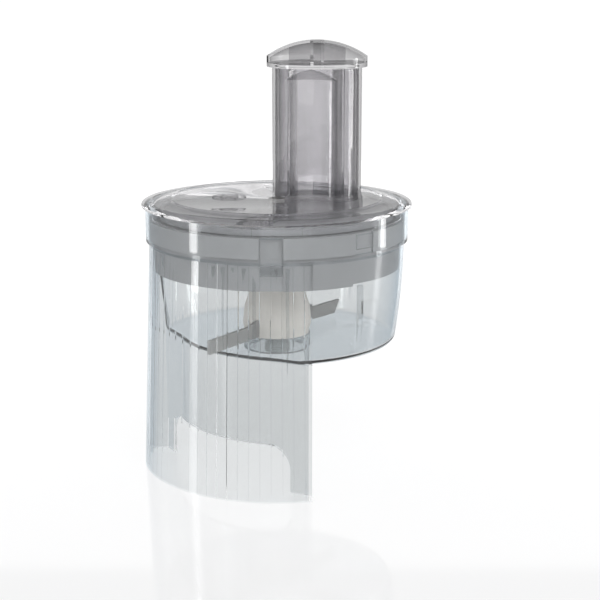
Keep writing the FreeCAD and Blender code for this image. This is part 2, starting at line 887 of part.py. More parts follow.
def make_grid():
    """The fixed cutting grid: a plate with a window, and two layers of crossed steel blades."""
    body = new_body("grid_frame")
    plate_low = size("grid_high") - size("grid_plate")
    rim_r = insert_inner_r - size("grid_gap")
    centre_r = size("sleeve_r") + 1
    turn_profile(
        body,
        [("sleeve_r", plate_low), (rim_r, plate_low), (rim_r, "grid_high"), ("sleeve_r", "grid_high")],
    )
    window = size("grid_window") / 2
    x, y = polar(insert_inner_r - size("grid_inset"), "grid_angle")
    skirt = draw_square(new_sketch(body, "XY_Plane", "grid_low"), grid_skirt_half)
    add_feature(body, "Pad", skirt, size("grid_high") - size("grid_low"))
    clear = new_sketch(body, "XY_Plane", size("grid_high") + 1)
    draw_circle(clear, 0, 0, centre_r)
    add_feature(body, "Pocket", clear, size("grid_high") - size("grid_low") + 2)
    hole = draw_square(new_sketch(body, "XY_Plane", size("grid_high") + 1), window)
    add_feature(body, "Pocket", hole, size("grid_high") - size("grid_low") + 2)
    screw = new_sketch(body, "XY_Plane", size("grid_high") + 1)
    draw_circle(screw, 0, grid_screw_at, "grid_screw_r")
    holes = add_feature(body, "Pocket", screw, size("grid_plate") + 1)
    repeat_round(body, holes, "grid_screw_count")

    height = (size("grid_high") - size("grid_low") - size("grid_blade_gap")) / 2
    pitch = size("grid_window") / (size("grid_blade_count") + 1)
    long_blades, cross_blades = [], []
    for number in range(int(SIZES["grid_blade_count"])):
        offset = pitch * (number + 1) - window
        long_blades.append(
            box(f"long_blade_{number}", "grid_window", "grid_blade", height, x - window, y + offset,
                size("grid_high") - height)
        )
        cross = box(f"cross_blade_{number}", "grid_blade", "grid_window", height,
                    x + offset - size("grid_blade") / 2, y, "grid_low")
        cross_blades.append(cross)
    group("grid_blades_long", long_blades)
    group("grid_blades_cross", cross_blades)

    screws = []
    bite = size("grid_screw_bite")
    for number in range(int(SIZES["grid_screw_count"])):
        sx, sy = polar(grid_screw_at, 90 + 360 * number / SIZES["grid_screw_count"])
        shank = cylinder(f"grid_shank_{number}", "grid_screw_r", size("grid_plate") + bite, sx, sy,
                         plate_low - bite)
        head = cylinder(f"grid_head_{number}", "grid_screw_head_r", "grid_screw_head", sx, sy, "grid_high")
        screws.append(join(f"grid_screw_{number}", [shank, head]))
    group("grid_screws", screws)


# ---- lid ----


def kidney(name, shrink, low, high, flare=True):
    """The feed tube's outline as a solid: a round bar with a concave front that flares out near its
    top.  A positive shrink moves the whole outline inwards."""
    shrink = size(shrink)
    radius = size("tube_r") - shrink
    plug_r = size("recess_r") + shrink
    px, py = -size("recess_offset_x"), -size("recess_offset_y")
    low, high = size(low), size(high)
    bar = cylinder(f"{name}_bar", radius, high - low, z=low)
    flare_low = size("tube_high") - size("flare_height")
    if not flare:
        plug = cylinder(f"{name}_plug", plug_r, high - low + 2, px, py, low - 1)
        solid = cut(f"{name}_kidney", bar, plug)
    else:
        plug = cylinder(f"{name}_plug", plug_r, flare_low - low + 1, px, py, low - 1)
        fade = cone(f"{name}_flare", plug_r, plug_r - size("flare_depth"), "flare_height", px, py, flare_low)
        solid = cut(f"{name}_kidney", bar, join(f"{name}_recess", [plug, fade]))
    return place(solid, "tube_x", "tube_y")


def make_lid():
    body = new_body("lid_shell")
    low_rim = collar_top + size("lid_gap")
    under = plateau - size("lid_thick")
    skirt_in = skirt_r - size("skirt_wall")
    skirt_low = collar_top - size("skirt_drop")
    ring_high = collar_top + size("lid_ring_rise")
    ridge_out = size("ridge_r") + size("ridge_half")
    ridge_in = size("ridge_r") - size("ridge_half")
    corners = [
        (0, under),
        (ridge_in, under),
        (skirt_in - size("ridge_half"), low_rim + size("lid_gap")),
        (skirt_in, low_rim - size("lid_gap") * 2),
        (skirt_in, skirt_low),
        (skirt_r, skirt_low),
        (skirt_r, low_rim),
        (lid_r, low_rim),
        (lid_r, low_rim + size("rim_thick")),
        (lid_r - size("lid_edge"), low_rim + size("rim_thick") + size("lid_edge_rise")),
        (lid_ring_r, ring_high),
        (ridge_out, plateau),
        ("ridge_r", plateau + size("ridge_rise")),
        (ridge_in, plateau),
        (0, plateau),
    ]
    turn_profile(body, corners)

    tube_hole = new_sketch(body, "XY_Plane", plateau + 1)
    kidney_outline(tube_hole, -size("weld_gap"))
    add_feature(body, "Pocket", tube_hole, size("lid_thick") + 2)

    badge = new_sketch(body, "XY_Plane", plateau)
    draw_circle(badge, "badge_x", 0, size("badge_r") + size("badge_gap"))
    add_feature(body, "Pocket", badge, "badge_sunk")

    bearing_seat = new_sketch(body, "XY_Plane", under)
    draw_circle(bearing_seat, 0, 0, "lid_bearing_r")
    add_feature(body, "Pocket", bearing_seat, "lid_bearing_sunk", down=True)

    pad = new_sketch(body, "XY_Plane", collar_top - size("pad_drop"))
    half = size("pad_angle") / 2
    outer = skirt_r + size("pad_reach")
    draw_sector(pad, skirt_r - 1, outer, size("pad_az") - half, size("pad_az") + half)
    add_feature(body, "Pad", pad, size("pad_drop") + size("lid_gap") * 2)

    latch = new_sketch(body, "XY_Plane", low_rim - size("latch_drop"))
    half = size("latch_angle") / 2
    inner = collar_r + size("lid_gap") * 2
    draw_sector(latch, inner, lid_r, size("latch_az") - half, size("latch_az") + half)
    add_feature(body, "Pad", latch, size("latch_drop") + 0.5)

    disc = cylinder("badge", "badge_r", "badge_thick", "badge_x", 0, plateau - size("badge_sunk"))
    named(disc, "lid_badge")
    bearing_low = disc_high + size("nut_thick") + size("axial_gap")
    bearing_high = under + size("lid_bearing_sunk")
    block = cylinder("bearing", "lid_bearing_r", bearing_high - bearing_low, z=bearing_low)
    bore_high = bearing_high - size("lid_bearing_roof")
    bore = cylinder("bearing_bore", size("shaft_r") + size("running_gap"), bore_high - bearing_low + 1,
                    z=bearing_low - 1)
    named(cut("bearing_cut", block, bore), "lid_bearing")


def kidney_outline(sketch, shrink):
    """The same outline as kidney(), drawn in a sketch, as two arcs."""
    shrink = size(shrink)
    radius = size("tube_r") - shrink
    plug_r = size("recess_r") + shrink
    reach = root(size("recess_offset_x") * size("recess_offset_x")
                 + size("recess_offset_y") * size("recess_offset_y"))
    along = (radius * radius - plug_r * plug_r + reach * reach) / (reach * 2)
    across = root(radius * radius - along * along)
    ux, uy = -(size("recess_offset_x") / reach), -(size("recess_offset_y") / reach)
    x, y = size("tube_x"), size("tube_y")
    left = (x + ux * along + uy * across, y + uy * along - ux * across)
    right = (x + ux * along - uy * across, y + uy * along + ux * across)
    far = (x - ux * radius, y - uy * radius)
    draw_loop(sketch, [left, right, far], {0: (plug_r, -1), 1: (radius, 1), 2: (radius, 1)})


def make_feed_tube():
    outside = kidney("tube_outer", 0, "tube_low", "tube_high")
    inside = kidney("tube_inner", "tube_wall", size("tube_low") - 1, size("tube_high"))
    mouth = cylinder("tube_mouth", size("tube_r") - size("tube_wall"), 2, "tube_x", "tube_y", "tube_high")
    named(cut("tube_cut", outside, join("tube_void", [inside, mouth])), "feed_tube")


def make_pusher():
    shrink = size("tube_wall") + size("pusher_gap")
    low = size("tube_low") + size("pusher_lift")
    outside = kidney("cup_outer", shrink, low, cap_low, flare=False)
    inside = kidney("cup_inner", shrink + size("pusher_wall"), low + size("pusher_floor"), cap_low + 1,
                    flare=False)
    named(cut("cup_cut", outside, inside), "pusher_cup")

    body = new_body("pusher_cap")
    plate_high = cap_low + size("cap_plate")
    rim_high = cap_low + size("cap_rim")
    wall = size("cap_wall")
    inner_r = size("cap_r") - wall
    dome_r = size("cap_dome_r")
    centre_z = rim_high - root(dome_r * dome_r - size("cap_r") * size("cap_r"))
    inner_dome = dome_r - wall
    turn_profile(
        body,
        [
            (0, cap_low),
            ("cap_r", cap_low),
            ("cap_r", rim_high),
            (0, centre_z + dome_r),
            (0, centre_z + inner_dome),
            (inner_r, centre_z + root(inner_dome * inner_dome - inner_r * inner_r)),
            (inner_r, plate_high),
            (0, plate_high),
        ],
        {2: (dome_r, 1), 4: (inner_dome, -1)},
    )
    top = cap_low + size("cap_dome_r")
    near, far = size("cap_cut"), size("cap_r") + 5
    pockets = new_sketch(body, "XY_Plane", top)
    draw_loop(pockets, [(-far, -far), (-near, -far), (-near, 0), (-far, 0)])
    draw_loop(pockets, [(near, 0), (far, 0), (far, far), (near, far)])
    add_feature(body, "Pocket", pockets, top - plate_high)
    grips = new_sketch(body, "XY_Plane", plate_high - 0.5)
    scoop = near + size("cap_scoop")
    inner = -near + wall
    left = [(-near, -far), (inner, -far), (inner, wall), (-scoop, wall), (-scoop, 0), (-near, 0)]
    draw_loop(grips, left)
    draw_loop(grips, [(-size(x), -size(y)) for x, y in left])
    add_feature(body, "Pad", grips, top - plate_high)
    trim = new_sketch(body, "XZ_Plane")
    draw_loop(
        trim,
        [("cap_r", cap_low - 1), (far * 2, cap_low - 1), (far * 2, top + 5), (0, top + 5),
         (0, centre_z + dome_r), ("cap_r", rim_high)],
        {4: (dome_r, -1)},
    )
    add_feature(body, "Groove", trim)
    place(body, "tube_x", "tube_y")


# ---- rotor ----


def make_ejector():
    body = new_body("ejector_hub")
    cavity_high = size("boss_height") + size("washer_thick") + size("axial_gap")
    turn_profile(
        body,
        [
            ("hub_cavity_r", "hub_low"),
            ("hub_foot_r", "hub_low"),
            ("hub_belly_r", "hub_belly"),
            ("hub_waist_r", "hub_waist"),
            ("hub_neck_r", "hub_neck"),
            ("hub_shoulder_r", "hub_shoulder"),
            ("hub_top_r", "hub_high"),
            ("shaft_r", "hub_high"),
            ("shaft_r", cavity_high),
            ("hub_cavity_r", cavity_high),
        ],
    )
    for name, reach, az, lean in (
        ("ejector_wing_long", wing_r, "wing_az", size(0)),
        ("ejector_wing_short", "short_wing_r", "short_wing_az", size("short_wing_lean")),
    ):
        wing = new_body(name)
        low = size("wing_low")
        tip = low + size("wing_tip_height")
        root_top = low + size("wing_root_height")
        root_r = size("hub_belly_r") - size("wing_root_in")
        step_r = root_r + size("wing_step")
        outline = new_sketch(wing, "XZ_Plane")
        draw_loop(
            outline,
            [(root_r, low), (size(reach) - lean, low), (reach, tip), (step_r, tip), (root_r, root_top)],
        )
        add_feature(wing, "Pad", outline, "wing_thick", both=True)
        foot = new_sketch(wing, "XZ_Plane")
        draw_loop(
            foot,
            [
                (0, "hub_low"),
                ("hub_foot_r", "hub_low"),
                ("hub_belly_r", "hub_belly"),
                ("hub_waist_r", "hub_waist"),
                (0, "hub_waist"),
            ],
        )
        add_feature(wing, "Groove", foot)
        place(wing, turn=size(az) - 90)


def make_cutting_disc():
    body = new_body("cutting_disc")
    low, high = size("disc_low"), disc_high
    sleeve_low = size("hub_high")
    rim_in = disc_r - size("disc_rim_width")
    turn_profile(
        body,
        [
            ("shaft_r", sleeve_low),
            ("sleeve_r", sleeve_low),
            ("sleeve_r", low),
            (disc_r, low),
            (disc_r, high + size("disc_rim")),
            (rim_in, high + size("disc_rim")),
            (rim_in - size("disc_rim_slope"), high),
            ("shaft_r", high),
        ],
    )
    turn = size("knife_az") - 90
    start, finish = size("knife_from"), size("knife_from") + size("knife_length")
    slot = new_sketch(body, "XY_Plane", high + 1, turn)
    width = size("slot_width")
    draw_loop(slot, [(start, -width), (finish, -width), (finish, 0), (start, 0)])
    add_feature(body, "Pocket", slot, size("disc_thick") + 2)
    holes = new_sketch(body, "XY_Plane", high + 1, turn)
    screw_y = size("knife_width") * 0.7
    step = size("knife_length") / size("knife_screw_count")
    for number in range(int(SIZES["knife_screw_count"])):
        draw_circle(holes, start + step * (number + 0.5), screw_y, "knife_screw_r")
    add_feature(body, "Pocket", holes, size("disc_thick") + 2)

    named(ring("nut", "nut_r", "shaft_r", "nut_thick", high), "disc_nut")

    knife = new_body("slicing_knife")
    blade = new_sketch(knife, "XY_Plane", high, turn)
    taper = size("knife_taper")
    draw_loop(
        blade,
        [(start, 0), (finish, 0), (finish - taper, "knife_width"), (start + taper / 2, "knife_width")],
    )
    add_feature(knife, "Pad", blade, "knife_thick")
    knife_holes = new_sketch(knife, "XY_Plane", high - 1, turn)
    for number in range(int(SIZES["knife_screw_count"])):
        draw_circle(knife_holes, start + step * (number + 0.5), screw_y, "knife_screw_r")
    add_feature(knife, "Pocket", knife_holes, size("knife_thick") + 2, down=True)

    screws = []
    for number in range(int(SIZES["knife_screw_count"])):
        along = start + step * (number + 0.5)
        sx = along * cosine(turn) - screw_y * sine(turn)
        sy = along * sine(turn) + screw_y * cosine(turn)
        shank = cylinder(f"knife_shank_{number}", "knife_screw_r", size("disc_thick") + size("knife_thick"),
                         sx, sy, low)
        head = cylinder(f"knife_head_{number}", "knife_screw_head_r", "knife_screw_head", sx, sy,
                        high + size("knife_thick"))
        screws.append(join(f"knife_screw_{number}", [shank, head]))
    group("knife_screws", screws)


NODES = [
    "housing_bowl", "discharge_chute", "drive_spigot", "shaft_bush", "shaft_seal", "thrust_washer",
    "insert_ring", "grid_frame", "grid_blades_long", "grid_blades_cross", "grid_screws",
    "lid_shell", "lid_badge", "lid_bearing", "feed_tube", "pusher_cup", "pusher_cap",
    "drive_shaft", "retaining_ring", "drive_coupling", "coupling_pin", "ejector_hub",
    "ejector_wing_long", "ejector_wing_short", "cutting_disc", "disc_nut", "slicing_knife",
    "knife_screws",
]


def check_and_export():
    """Stops if any object failed or a cut removed nothing, then writes one file for each node."""
    doc.recompute()
    for thing in doc.Objects:
        if "Invalid" in thing.State or "Error" in thing.State:
            raise RuntimeError(f"{thing.Name} ({thing.Label}) failed: {thing.State}")
    for feature in cutting_features:
        if feature.Shape.Volume >= feature.BaseFeature.Shape.Volume - 0.01:
            raise RuntimeError(f"{feature.Name} cuts nothing")
    os.makedirs("parts", exist_ok=True)
    for name in NODES:
        found = doc.getObjectsByLabel(name)
        if len(found) != 1:
            raise RuntimeError(f"{name} names {len(found)} objects")
        shape = found[0].Shape
        if shape.isNull() or not shape.isValid() or not shape.Solids:
            raise RuntimeError(f"{name} has no valid solid")
        shape.exportStep(f"parts/{name}.step")
        print(f"{name}: {len(shape.Solids)} solid(s), {shape.Volume / 1000:.2f} cm3")


make_housing_bowl()
make_chute()
make_spigot()
make_shaft_parts()
make_insert_ring()
make_grid()
make_lid()
make_feed_tube()
make_pusher()
make_ejector()
make_cutting_disc()
check_and_export()
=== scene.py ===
import math

import bmesh
import bpy
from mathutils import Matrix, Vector


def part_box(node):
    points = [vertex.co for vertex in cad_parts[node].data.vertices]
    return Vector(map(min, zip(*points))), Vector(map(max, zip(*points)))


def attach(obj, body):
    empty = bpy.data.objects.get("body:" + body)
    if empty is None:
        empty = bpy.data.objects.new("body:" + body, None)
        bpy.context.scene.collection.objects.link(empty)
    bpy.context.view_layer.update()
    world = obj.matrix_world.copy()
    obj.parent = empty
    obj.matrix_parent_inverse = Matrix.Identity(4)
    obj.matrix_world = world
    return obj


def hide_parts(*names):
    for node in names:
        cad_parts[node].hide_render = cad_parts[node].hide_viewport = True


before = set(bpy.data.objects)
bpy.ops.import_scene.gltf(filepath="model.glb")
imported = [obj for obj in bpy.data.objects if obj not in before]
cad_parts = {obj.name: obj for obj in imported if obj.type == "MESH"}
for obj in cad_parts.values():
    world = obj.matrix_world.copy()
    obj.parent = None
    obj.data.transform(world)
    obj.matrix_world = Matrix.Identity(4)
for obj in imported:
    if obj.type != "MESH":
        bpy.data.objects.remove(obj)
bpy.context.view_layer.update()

bl_info = {
    "name": "Dicing attachment",
    "version": (1, 0, 0),
    "blender": (4, 5, 0),
    "location": "View3D > Sidebar > Attachment",
    "description": "Builds a clear dicing attachment round its fixed frame",
    "category": "Object",
}

MM = 0.001
COPY_MERGE = 0.004 * MM
OWN_MERGE = 0.002 * MM
TURN_STEPS = 180
CIRCLE_STEPS = 96
UP = Vector((0, 0, 1))
ORIGIN = Vector((0, 0, 0))


# ---- sizes and colours ----


class AttachmentSizes(bpy.types.PropertyGroup):
    """The sizes that a user would change"""

    edge_round: bpy.props.FloatProperty(
        name="Edge radius", description="Radius on the edges of the lid, feed tube and pusher",
        default=0.25 * MM, unit="LENGTH",
    )
    smooth_angle: bpy.props.FloatProperty(
        name="Smooth angle", description="Faces that meet under this angle are shaded smooth",
        default=math.radians(32), subtype="ANGLE",
    )
    floor_size: bpy.props.FloatProperty(
        name="Floor size", description="Width and depth of the studio floor", default=6.0, unit="LENGTH"
    )
    backdrop_distance: bpy.props.FloatProperty(
        name="Backdrop distance", description="From the drive axis to the backdrop", default=1.6,
        unit="LENGTH",
    )


class AttachmentColours(bpy.types.PropertyGroup):
    """The colours that a user would change"""

    clear: bpy.props.FloatVectorProperty(
        name="Clear plastic", description="Tint of the housing", subtype="COLOR", default=(0.755, 0.77, 0.775)
    )
    smoke: bpy.props.FloatVectorProperty(
        name="Smoke plastic", description="Tint of the lid, feed tube and pusher", subtype="COLOR",
        default=(0.825, 0.82, 0.83),
    )
    grey: bpy.props.FloatVectorProperty(
        name="Grey plastic", description="Insert ring and cutting grid", subtype="COLOR",
        default=(0.33, 0.33, 0.335),
    )
    white: bpy.props.FloatVectorProperty(
        name="White plastic", description="Ejector hub", subtype="COLOR", default=(0.90, 0.85, 0.79)
    )
    # The wings' colour is the hub's white plastic darkened to the tone it has in shade: painted shade.
    shaded_wing_white: bpy.props.FloatVectorProperty(
        name="Shaded wing plastic", description="Ejector wings", subtype="COLOR", default=(0.36, 0.355, 0.345)
    )
    disc: bpy.props.FloatVectorProperty(
        name="Disc plastic", description="Cutting disc", subtype="COLOR", default=(0.45, 0.46, 0.47)
    )
    steel: bpy.props.FloatVectorProperty(
        name="Steel", description="Knife, shaft, blades and screws", subtype="COLOR",
        default=(0.62, 0.62, 0.64),
    )
    bearing: bpy.props.FloatVectorProperty(
        name="Bearing plastic", description="Bush, bearing and coupling", subtype="COLOR",
        default=(0.66, 0.66, 0.64),
    )


def sizes():
    return bpy.context.scene.attachment_sizes


def colours():
    return bpy.context.scene.attachment_colours


# ---- finishes ----

CLEAR_EDGE = (0.22, 0.36, 0.47)
SMOKE_EDGE = (0.02, 0.02, 0.022)
RUBBER = (0.6, 0.6, 0.59)
CLEAR_BENDING = 1.1
SMOKE_BENDING = 1.03
GLOSS_FADE = (0.35, 0.7)


def shader_group(name, inputs, outputs):
    """A new node group with these named inputs and outputs, and nothing between them."""
    group = bpy.data.node_groups.new(name, "ShaderNodeTree")
    for label, kind, default in inputs:
        socket = group.interface.new_socket(label, in_out="INPUT", socket_type=kind)
        socket.default_value = default
    for label, kind in outputs:
        group.interface.new_socket(label, in_out="OUTPUT", socket_type=kind)
    start, end = group.nodes.new("NodeGroupInput"), group.nodes.new("NodeGroupOutput")
    return group, start, end


def moulded_group():
    """Fine moulding marks: a soft ripple in the height and a slight change of gloss."""
    group = bpy.data.node_groups.get("Moulded surface")
    if group:
        return group
    group, start, end = shader_group(
        "Moulded surface",
        [("Scale", "NodeSocketFloat", 60.0), ("Roughness", "NodeSocketFloat", 0.05),
         ("Spread", "NodeSocketFloat", 0.04)],
        [("Roughness", "NodeSocketFloat"), ("Height", "NodeSocketFloat")],
    )
    nodes, links = group.nodes, group.links
    place = nodes.new("ShaderNodeTexCoord")
    ripple = nodes.new("ShaderNodeTexNoise")
    ripple.inputs["Detail"].default_value = 2.0
    links.new(place.outputs["Object"], ripple.inputs["Vector"])
    links.new(start.outputs["Scale"], ripple.inputs["Scale"])
    gloss = nodes.new("ShaderNodeMath")
    gloss.operation = "MULTIPLY_ADD"
    links.new(ripple.outputs["Fac"], gloss.inputs[0])
    links.new(start.outputs["Spread"], gloss.inputs[1])
    links.new(start.outputs["Roughness"], gloss.inputs[2])
    links.new(gloss.outputs[0], end.inputs["Roughness"])
    links.new(ripple.outputs["Fac"], end.inputs["Height"])
    return group


def plastic(name, colour, roughness, spread, scale, bump, **sockets):
    """A moulded plastic: one Principled shader with moulding marks in its gloss and height."""
    material = bpy.data.materials.get(name)
    if material:
        return material
    material = bpy.data.materials.new(name)
    material.use_nodes = True
    nodes, links = material.node_tree.nodes, material.node_tree.links
    shader = nodes["Principled BSDF"]
    shader.inputs["Base Color"].default_value = (*colour, 1.0)
    for socket, value in sockets.items():
        shader.inputs[socket.replace("_", " ")].default_value = value
    marks = nodes.new("ShaderNodeGroup")
    marks.node_tree = moulded_group()
    marks.inputs["Scale"].default_value = scale
    marks.inputs["Roughness"].default_value = roughness
    marks.inputs["Spread"].default_value = spread
    links.new(marks.outputs["Roughness"], shader.inputs["Roughness"])
    relief = nodes.new("ShaderNodeBump")
    relief.inputs["Distance"].default_value = bump
    relief.inputs["Strength"].default_value = 0.5
    links.new(marks.outputs["Height"], relief.inputs["Height"])
    links.new(relief.outputs["Normal"], shader.inputs["Normal"])
    return material


def clear_wall(name, tint, edge_tint, bending, narrowness, edge_gloss):
    """See-through plastic, open to the light of the lamps.  Where the wall is seen edge on it takes
    its edge tint, in a band that is slimmer the higher the narrowness, and loses gloss."""
    if bpy.data.materials.get(name):
        return bpy.data.materials[name]
    material = plastic(name, tint, roughness=0.0, spread=0.03, scale=18.0, bump=0.006 * MM,
                       Transmission_Weight=1.0, IOR=bending, Coat_IOR=1.5, Coat_Roughness=0.02)
    nodes, links = material.node_tree.nodes, material.node_tree.links
    shader, out = nodes["Principled BSDF"], nodes["Material Output"]
    facing = nodes.new("ShaderNodeLayerWeight")
    facing.inputs["Blend"].default_value = 0.5
    narrow = nodes.new("ShaderNodeMath")
    narrow.operation = "POWER"
    narrow.inputs[1].default_value = narrowness
    links.new(facing.outputs["Facing"], narrow.inputs[0])
    blend = nodes.new("ShaderNodeMix")
    blend.data_type = "RGBA"
    blend.inputs["A"].default_value = (*tint, 1.0)
    blend.inputs["B"].default_value = (*edge_tint, 1.0)
    links.new(narrow.outputs[0], blend.inputs["Factor"])
    links.new(blend.outputs["Result"], shader.inputs["Base Color"])
    fading = nodes.new("ShaderNodeMapRange")
    for socket, value in zip(("From Min", "From Max", "To Min", "To Max"), (*GLOSS_FADE, 1.0, edge_gloss)):
        fading.inputs[socket].default_value = value
    links.new(facing.outputs["Facing"], fading.inputs["Value"])
    links.new(fading.outputs["Result"], shader.inputs["Coat Weight"])
    lamp = nodes.new("ShaderNodeLightPath")
    hole = nodes.new("ShaderNodeBsdfTransparent")
    hole.inputs["Color"].default_value = (*(math.sqrt(part) for part in tint), 1.0)
    either = nodes.new("ShaderNodeMixShader")
    links.new(lamp.outputs["Is Shadow Ray"], either.inputs[0])
    links.new(shader.outputs[0], either.inputs[1])
    links.new(hole.outputs[0], either.inputs[2])
    links.new(either.outputs[0], out.inputs["Surface"])
    return material


def clear_plastic():
    return clear_wall("Clear plastic", colours().clear, CLEAR_EDGE, CLEAR_BENDING,
                      narrowness=3.5, edge_gloss=0.0)


def smoke_plastic():
    return clear_wall("Smoke plastic", colours().smoke, SMOKE_EDGE, SMOKE_BENDING,
                      narrowness=2.6, edge_gloss=0.0)


def lid_plastic():
    """The lid is polished, so it keeps some of its gloss where it is seen edge on."""
    tint = [part * 0.94 for part in colours().smoke]
    return clear_wall("Lid smoke plastic", tint, SMOKE_EDGE, SMOKE_BENDING, narrowness=3.0, edge_gloss=0.4)


def cap_plastic():
    """The cap takes the smoke tint darkened to four fifths."""
    tint = [part * 0.8 for part in colours().smoke]
    return clear_wall("Cap smoke plastic", tint, SMOKE_EDGE, SMOKE_BENDING, narrowness=2.2, edge_gloss=0.0)


def grey_plastic():
    return plastic("Grey plastic", colours().grey, roughness=0.36, spread=0.1, scale=400.0, bump=0.05 * MM)


def white_plastic():
    return plastic("White plastic", colours().white, roughness=0.42, spread=0.1, scale=500.0, bump=0.04 * MM)


# Painted shade: the wings take the hub's white plastic darkened to its shaded tone.
def shaded_wing_plastic():
    return plastic("Shaded wing plastic", colours().shaded_wing_white,
                   roughness=0.4, spread=0.1, scale=500.0, bump=0.04 * MM)


def disc_plastic():
    return plastic("Disc plastic", colours().disc, roughness=0.28, spread=0.1, scale=400.0, bump=0.04 * MM)


def bearing_plastic():
    return plastic("Bearing plastic", colours().bearing,
                   roughness=0.35, spread=0.1, scale=500.0, bump=0.03 * MM)


def seal_rubber():
    return plastic("Seal rubber", RUBBER, roughness=0.6, spread=0.15, scale=700.0, bump=0.05 * MM)


def steel():
    """Ground steel, with fine changes in its gloss."""
    return plastic("Ground steel", colours().steel,
                   roughness=0.2, spread=0.15, scale=900.0, bump=0.02 * MM, Metallic=1.0)


# ---- modelling helpers ----


def only(thing):
    """Selects this object alone and makes it active."""
    bpy.ops.object.select_all(action="DESELECT")
    thing.hide_set(False)
    thing.select_set(True)
    bpy.context.view_layer.objects.active = thing
    return thing


def apply_modifier(thing, kind, **settings):
    """Adds a modifier with these settings and applies it."""
    only(thing)
    modifier = thing.modifiers.new(kind.title(), kind)
    for name, value in settings.items():
        setattr(modifier, name, value)
    bpy.ops.object.modifier_apply(modifier=modifier.name)
    return thing


def smooth(thing):
    """Shades by angle, without the normals that a copy brings along."""
    only(thing)
    if thing.data.has_custom_normals:
        bpy.ops.mesh.customdata_custom_splitnormals_clear()
    bpy.ops.object.shade_smooth_by_angle(angle=sizes().smooth_angle)
    return thing


def moulded_copy(node, label):
    """A copy of a frame piece with its loose triangles merged and its shading smoothed."""
    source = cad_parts[node]
    thing = bpy.data.objects.new(label, source.data.copy())
    bpy.context.scene.collection.objects.link(thing)
    only(thing)
    bpy.ops.object.mode_set(mode="EDIT")
    bpy.ops.mesh.select_all(action="SELECT")
    bpy.ops.mesh.remove_doubles(threshold=COPY_MERGE)
    bpy.ops.object.mode_set(mode="OBJECT")
    return smooth(thing)


def at(radius, az, height):
    """The point at this radius, bearing from the front towards +X, and height, in millimetres."""
    turn = math.radians(az)
    return Vector((radius * math.sin(turn), -radius * math.cos(turn), height)) * MM


def start_outline(label, points):
    """A new object that is one closed outline through these points."""
    bpy.ops.object.select_all(action="DESELECT")
    bpy.ops.mesh.primitive_circle_add(vertices=len(points), radius=MM, location=(0, 0, 0))
    thing = bpy.context.object
    thing.name = label
    for vertex, point in zip(thing.data.vertices, points):
        vertex.co = point
    bpy.ops.object.mode_set(mode="EDIT")
    bpy.ops.mesh.select_all(action="SELECT")
    return thing


def pick(thing, indices):
    """Selects these corners alone, and what lies between them."""
    bpy.ops.mesh.select_all(action="DESELECT")
    mesh = bmesh.from_edit_mesh(thing.data)
    mesh.verts.ensure_lookup_table()
    for index in indices:
        mesh.verts[index].select = True
    mesh.select_flush_mode()
    bmesh.update_edit_mesh(thing.data)


def close_up(thing):
    """Merges doubles, turns every face outwards and leaves edit mode."""
    bpy.ops.mesh.select_all(action="SELECT")
    bpy.ops.mesh.remove_doubles(threshold=OWN_MERGE)
    bpy.ops.mesh.normals_make_consistent(inside=False)
    bpy.ops.object.mode_set(mode="OBJECT")
    return thing


def stack(label, loops, closed=False):
    """A solid from outlines of equal length, one after another.  Its two ends are filled, or joined
    to each other where it is closed, as the wall of a tube is."""
    thing = start_outline(label, loops[0])
    order = list(range(len(loops[0])))
    for loop in loops[1:]:
        bpy.ops.mesh.extrude_edges_move()
        mesh = bmesh.from_edit_mesh(thing.data)
        mesh.verts.index_update()
        corner_of = {index: corner for corner, index in enumerate(order)}
        for vertex in [v for v in mesh.verts if v.select]:
            foot = next(edge.other_vert(vertex) for edge in vertex.link_edges
                        if not edge.other_vert(vertex).select)
            corner = corner_of[foot.index]
            vertex.co = loop[corner]
            order[corner] = vertex.index
        bmesh.update_edit_mesh(thing.data)
    first = range(len(loops[0]))
    if closed:
        pick(thing, [*first, *order])
        bpy.ops.mesh.bridge_edge_loops()
    else:
        for ring in (first, order):
            pick(thing, ring)
            bpy.ops.mesh.edge_face_add()
    return close_up(thing)


def turned(label, profile):
    """A solid of revolution about the drive axis, from corners given as radius and height."""
    thing = start_outline(label, [Vector((radius, 0, height)) * MM for radius, height in profile])
    bpy.ops.mesh.spin(steps=TURN_STEPS, angle=math.tau, center=ORIGIN, axis=UP)
    return close_up(thing)


def prism(label, corners, low, high):
    """A solid with this plan outline between two heights, all in millimetres."""
    return stack(label, [[Vector((x, y, height)) * MM for x, y in corners] for height in (low, high)])


def joined(thing, other, operation):
    """Adds, takes away or keeps the other solid, which is then removed."""
    apply_modifier(thing, "BOOLEAN", object=other, operation=operation, solver="EXACT")
    bpy.data.objects.remove(other)
    return thing


def soften(thing):
    """Rounds the edges that are sharper than 40 degrees and smooths the shading."""
    apply_modifier(thing, "BEVEL", width=sizes().edge_round, segments=2, limit_method="ANGLE",
                   angle_limit=math.radians(40), use_clamp_overlap=True, loop_slide=False)
    return smooth(thing)


def arc(centre, radius, start, finish, count):
    """Points along an arc in plan, angles in degrees from +X."""
    for step in range(count + 1):
        angle = math.radians(start + (finish - start) * step / count)
        yield centre[0] + radius * math.cos(angle), centre[1] + radius * math.sin(angle)


# ---- the chute's and the feed tube's shapes, in millimetres and degrees ----

CHUTE_MIDDLE = -44.0
CHUTE_MOUTH_R = 96.4
CHUTE_TOP_R = 90.2
CHUTE_WALL = 2.5
CHUTE_HALF = 57.6
FLUTE_PITCH = 4.7
FLUTE_COUNT = 25
FLUTE_DEPTH = 0.5
FLUTE_HALF = 0.32
TUBE_MIDDLE = (28.5, 27.0)
TUBE_R = 31.9
TUBE_WALL = 2.0
RECESS_R = 24.0
RECESS_OFFSET = (-6.5, -41.0)
FLARE_DEPTH = 14.5
FLARE_HEIGHT = 8.0


